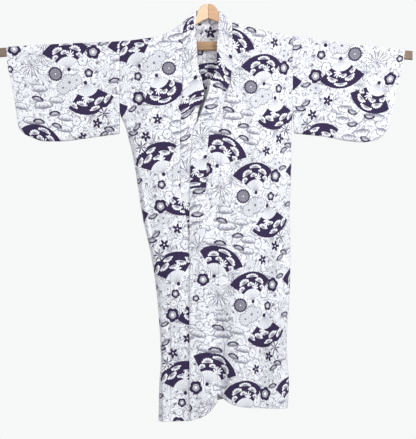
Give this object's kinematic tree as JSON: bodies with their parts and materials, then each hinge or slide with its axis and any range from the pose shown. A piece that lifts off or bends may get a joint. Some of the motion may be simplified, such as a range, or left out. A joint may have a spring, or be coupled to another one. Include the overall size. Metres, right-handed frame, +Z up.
{
  "type": "cotton yukata robe on a wooden hanger with a display pole through its sleeves",
  "caption": "Printed cotton yukata hung flat on a wooden hanger, sleeves spread on a pole, left front lapped over right, open at neck, cuffs and hem.",
  "frame": {"origin": "the point under the crown of the hanger's hook where it bears on what it hangs from", "axes": "+Z up, -Y out of the front of the robe, +X towards the wearer's left"},
  "size_m": [1.413, 0.103, 1.5048],
  "materials": {
    "cotton": "white plain-weave cotton printed in dark indigo violet and grey",
    "hanger_wood": "pale varnished wood",
    "hook_wire": "plated wire",
    "pole_wood": "aged bare wood"
  },
  "bodies": {
    "root": {"body_left_front": "cotton", "body_left_back": "cotton", "body_right_front": "cotton", "body_right_back": "cotton", "okumi_left": "cotton", "okumi_right": "cotton", "collar": "cotton", "sleeve_left": "cotton", "sleeve_right": "cotton", "hanger_half_left": "hanger_wood", "hanger_half_right": "hanger_wood", "hanger_hook": "hook_wire", "pole": "pole_wood"}
  },
  "joints": []
}
